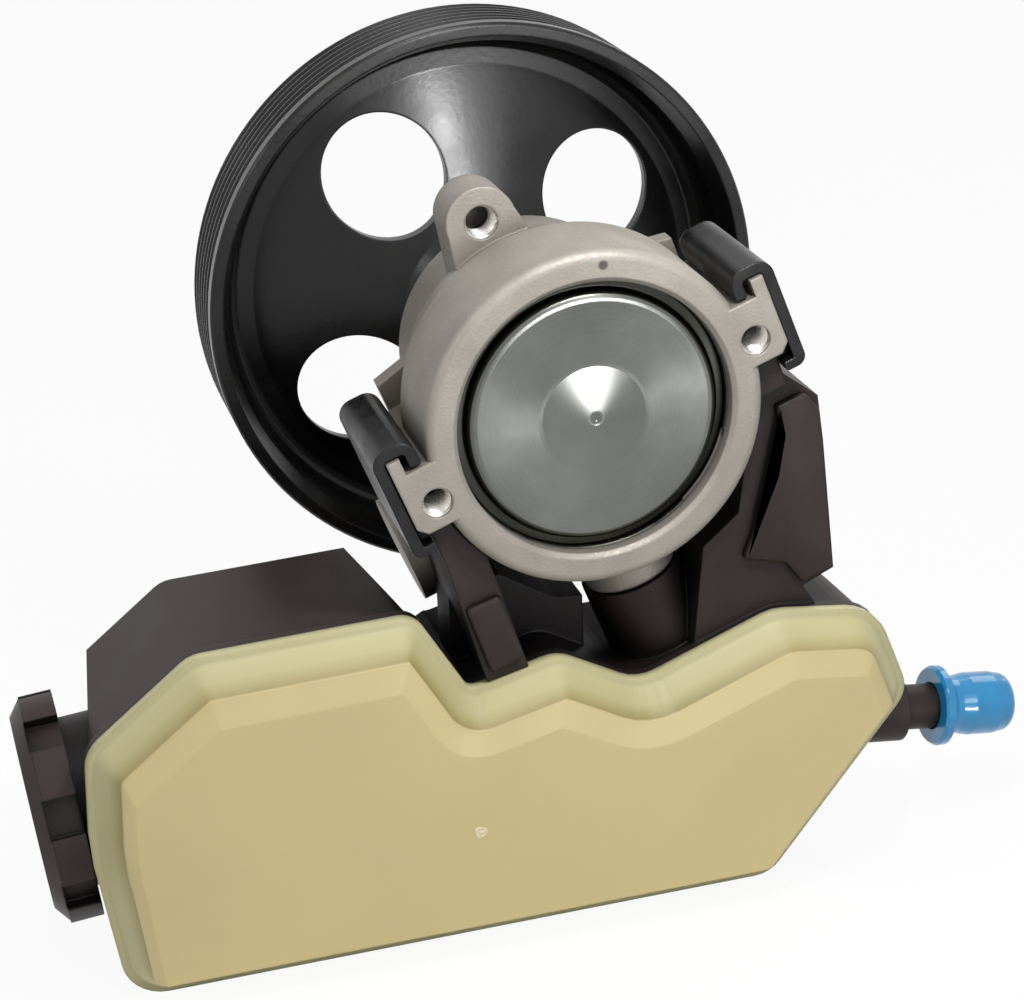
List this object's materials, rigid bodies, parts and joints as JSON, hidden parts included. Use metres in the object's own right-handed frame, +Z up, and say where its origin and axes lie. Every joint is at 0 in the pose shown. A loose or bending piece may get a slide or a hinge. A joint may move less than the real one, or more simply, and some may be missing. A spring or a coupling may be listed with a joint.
{
  "type": "power steering pump",
  "caption": "Vane-type power steering pump with a ribbed-belt pulley, cast housing and a clip-on two-piece fluid reservoir with a filler cap and return nipple.",
  "frame": {"origin": "midway between the two rear lug holes, on the shaft axis at the housing's rear face", "axes": "+Y along the drive shaft towards the pulley, +Z up, +X to the right seen from behind the pump"},
  "size_m": [0.2402, 0.1178, 0.1931],
  "materials": {
    "cast_aluminium": "as-cast, with machined faces",
    "zinc_steel": "zinc-plated",
    "spring_steel": "oiled spring steel",
    "steel": "ground",
    "bronze": "plain bearing bronze",
    "rubber": "smooth",
    "pulley_paint": "satin black",
    "clip_paint": "black coated spring steel",
    "dark_plastic": "moulded, brown-black",
    "natural_plastic": "moulded, uncoloured",
    "blue_plastic": "glossy"
  },
  "bodies": {
    "pump": {"pump_housing": "cast_aluminium", "end_cover": "zinc_steel", "cover_retaining_ring": "spring_steel", "cover_o_ring": "rubber", "pressure_plate": "steel", "pressure_plate_o_ring": "rubber", "pressure_plate_spring": "spring_steel", "cam_ring": "steel", "thrust_plate": "steel", "dowel_pins": "steel", "shaft_bushing": "bronze", "shaft_seal": "rubber", "flow_control_spring": "spring_steel", "outlet_union": "zinc_steel", "outlet_union_o_ring": "rubber", "inlet_o_ring": "rubber", "reservoir_front": "dark_plastic", "reservoir_rear": "natural_plastic", "left_clip": "clip_paint", "right_clip": "clip_paint"},
    "rotating_group": {"drive_shaft": "steel", "pulley": "pulley_paint", "rotor": "steel", "vanes": "steel", "rotor_retaining_ring": "spring_steel"},
    "valve": {"flow_control_valve": "steel"},
    "cap_seal": {"filler_cap_gasket": "rubber"},
    "cap": {"filler_cap": "dark_plastic", "dipstick": "dark_plastic"},
    "nipple_cap": {"dust_cap": "blue_plastic"}
  },
  "joints": [
    {"name": "shaft_spin", "type": "hinge", "parent": "pump", "child": "rotating_group", "pos_m": [0, 0, 0], "axis": [0, 1, 0], "continuous": true},
    {"name": "valve_slide", "type": "slide", "parent": "pump", "child": "valve", "axis": [-0.9367, 0, -0.3502], "range_m": [0, 0.008], "stiffness_N_per_m": 2000, "springref_m": -0.004, "deforming": ["flow_control_spring"]},
    {"name": "cap_lift", "type": "slide", "parent": "pump", "child": "cap_seal", "axis": [-0.9954, 0, -0.0958], "range_m": [0, 0.009]},
    {"name": "cap_turn", "type": "hinge", "parent": "cap_seal", "child": "cap", "pos_m": [-0.111, 0.031, -0.0864], "axis": [-0.9954, 0, -0.0958], "range_deg": [0, 540]},
    {"name": "dust_cap_pull", "type": "slide", "parent": "pump", "child": "nipple_cap", "axis": [0.9936, 0, -0.1132], "range_m": [0, 0.03]}
  ],
  "couplings": [
    {"joint": "cap_turn", "follows": "cap_lift", "rad_per_m": 1047.2}
  ]
}
